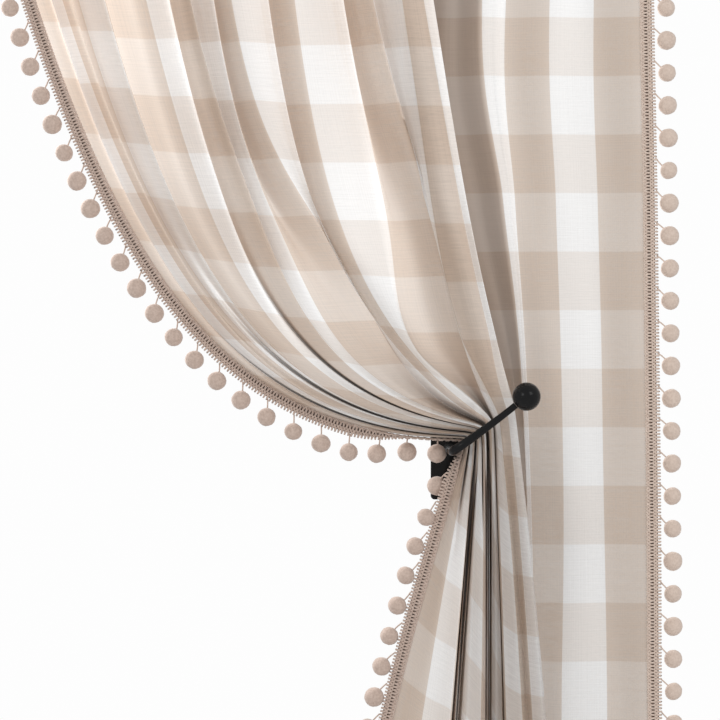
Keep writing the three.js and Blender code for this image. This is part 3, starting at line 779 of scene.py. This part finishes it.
def arm_path(steps):
    """The bar's middle line: straight from the plate, a rounded elbow, then a slight curve up to
    the ball."""
    bends = (ARM["elbow"], ARM["middle"], ARM["tip_at"])
    elbow, middle, tip = (np.array([x, ARM["y"], -drop]) for x, drop in bends)
    start = np.array([elbow[0], WALL_Y - PLATE["thickness"] - FIT_GAP, elbow[2]])
    along = unit(middle - elbow)
    bend_start, bend_end = elbow + (0, ARM["bend"], 0), elbow + along * ARM["bend"]
    t = np.linspace(0, 1, steps)[:, None]
    straight = start + (bend_start - start) * t
    corner = (1 - t) ** 2 * bend_start + 2 * (1 - t) * t * elbow + t * t * bend_end
    last = (1 - t) ** 2 * bend_end + 2 * (1 - t) * t * middle + t * t * tip
    return np.concatenate([straight, corner[1:], last[1:]])


def black_piece(name, node, points, rings, sides, material):
    """One piece of the holdback, from rings of points."""
    faces = grid_faces(rings, sides, closed_columns=True)
    piece = new_piece(name, points, faces, material)
    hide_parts(node)


def make_arm(material):
    path = arm_path(24)
    length = np.concatenate([[0], np.cumsum(np.linalg.norm(np.diff(path, axis=0), axis=1))])
    radius = ARM["root"] + (ARM["tip"] - ARM["root"]) * smooth((length / length[-1] - 0.5) * 2)
    sides = 28
    points = tube(path, radius, sides, across=np.array([0, 0, 1.0]))
    black_piece("black_bar", "holdback_arm", points, len(path), sides, material)
    return path


def make_ball(material, path):
    direction = unit(path[-1] - path[-2])
    angle = np.linspace(BALL_FOOT, np.pi - 0.01, 30)
    middle = FIT_GAP + BALL_RADIUS * np.cos(BALL_FOOT)
    profile = [(0.01, FIT_GAP), (ARM["tip"] + 0.6, FIT_GAP)]
    profile += [(BALL_RADIUS * math.sin(a), middle - BALL_RADIUS * math.cos(a)) for a in angle]
    sides = 48
    points = lathe(profile, sides, path[-1], direction)
    black_piece("black_ball", "holdback_ball", points, len(profile), sides, material)


def make_plate(material):
    """The wall plate: a rounded rectangle with an eased front edge, ring by ring from the back."""
    w, h, corner, deep = PLATE["width"] / 2, PLATE["height"] / 2, PLATE["corner"], PLATE["thickness"]
    inner = w * 0.98
    turn = np.linspace(0, 2 * np.pi, 40, endpoint=False) + np.pi / 40
    cx, cz = np.sign(np.cos(turn)) * (w - corner), np.sign(np.sin(turn)) * (h - corner)
    rings = []
    eased = ((0, -deep + 1), (0.3, -deep + 0.3), (1, -deep))
    for inset, y in ((inner, 0), (0, 0), *eased, (inner, -deep)):
        r = max(corner - inset, 0.05)
        drawn_in = 1 if inset < corner else (w - inset) / (w - corner)
        x = cx * drawn_in + r * np.cos(turn)
        z = cz * drawn_in + r * np.sin(turn)
        rings.append(np.stack([PLATE["x"] + x, np.full_like(x, WALL_Y + y), z - PLATE["drop"]], -1))
    points = np.concatenate(rings)
    black_piece("black_wall_plate", "holdback_plate", points, len(rings), len(turn), material)


# Stage


def add_light(name, place, aim, power, size):
    data = bpy.data.lights.new(name, "AREA")
    data.energy = power
    data.size = size
    lamp = bpy.data.objects.new(name, data)
    bpy.context.collection.objects.link(lamp)
    lamp.location = place
    way = np.asarray(aim, float) - np.asarray(place, float)
    tilt = math.acos(-way[2] / np.linalg.norm(way))
    lamp.rotation_euler = (tilt, 0, math.atan2(way[1], way[0]) - math.pi / 2)
    return lamp


def add_camera():
    """Level with the holdback, square to the wall, framing 720 mm of the curtains."""
    data = bpy.data.cameras.new("camera")
    data.sensor_width = CAMERA["sensor"]
    data.lens = CAMERA["lens"]
    camera = bpy.data.objects.new("camera", data)
    bpy.context.collection.objects.link(camera)
    distance = CAMERA["frames"] * CAMERA["lens"] / CAMERA["sensor"]
    camera.location = (CAMERA["x"], -distance - CAMERA["before"], CAMERA["z"])
    camera.rotation_euler = (math.pi / 2, 0, 0)
    bpy.context.scene.camera = camera


def add_stage():
    floor = bpy.data.meshes.new("floor")
    half, z = FLOOR["half"], FLOOR["z"]
    corners = [(-half, -half, z), (half, -half, z), (half, half, z), (-half, half, z)]
    floor.from_pydata(corners, [], [(0, 1, 2, 3)])
    floor.materials.append(pale_floor())
    ground = bpy.data.objects.new("floor", floor)
    bpy.context.collection.objects.link(ground)
    world = bpy.data.worlds.new("world")
    world.use_nodes = True
    tree = world.node_tree
    seen = tree.nodes.new("ShaderNodeLightPath").outputs["Is Camera Ray"]
    strength = tree.nodes.new("ShaderNodeMapRange")
    tree.links.new(seen, strength.inputs["Value"])
    strength.inputs["To Min"].default_value = AMBIENT
    strength.inputs["To Max"].default_value = 1.0
    tree.nodes["Background"].inputs["Color"].default_value = SURROUNDINGS
    tree.links.new(strength.outputs["Result"], tree.nodes["Background"].inputs["Strength"])
    bpy.context.scene.world = world
    bpy.context.scene.view_settings.view_transform = "Standard"
    lamps = {name: add_light(name, *row) for name, row in LIGHTS.items()}
    lamps["window"].visible_camera = False


def main():
    add_camera()
    cloth = check_cloth()
    trim = trim_yarn("trim_yarn", TRIM_BEIGE, TRIM_SHADOW)
    # A darker copy of the trim's yarn: painted shade on the leading braid and its pompoms
    leading_trim = trim_yarn("leading_yarn_in_shade", LEADING_BEIGE_IN_SHADE, LEADING_SHADOW)
    # The dark strip behind each braid: painted shade for the gaps between its strands
    gap_shade_material = trim_yarn("backing_tape", BRAID_GAP_SHADE, BRAID_GAP_SHADE)
    enamel = black_enamel()
    swept, swept_points, swept_length = make_swept_panel(cloth)
    straight, straight_points = make_straight_panel(cloth)
    rows = swept_length[0]
    upper = rows[ROWS_ABOVE_BAR]
    leading_edge = (swept_points[0], swept_points[2], rows - upper, neck_turn)
    leading, leading_gap_strip = make_braid("leading_braid", *leading_edge, leading_trim, gap_shade_material)
    under = PANEL_LENGTH - upper
    row = np.concatenate([-pompom_row(POMPOMS_ABOVE, upper), pompom_row(POMPOMS_BELOW, under)])
    places = root_clear(pompom_places(row, *leading_edge, below=True))
    leading_balls = make_pompoms("leading_pompoms", places, leading_trim)
    straight_edge = straight_points[-1]
    outer_edge = (straight_edge, straight_points[-3], -straight_edge[:, 2], np.zeros_like)
    outer, outer_gap_strip = make_braid("outer_braid", *outer_edge, trim, gap_shade_material)
    row = pompom_row(POMPOMS_OUTER, PANEL_LENGTH)
    outer_balls = make_pompoms("outer_pompoms", pompom_places(row, *outer_edge), trim)
    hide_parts("leading_trim")
    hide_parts("outer_trim")
    make_ball(enamel, make_arm(enamel))
    make_plate(enamel)
    add_stage()


main()
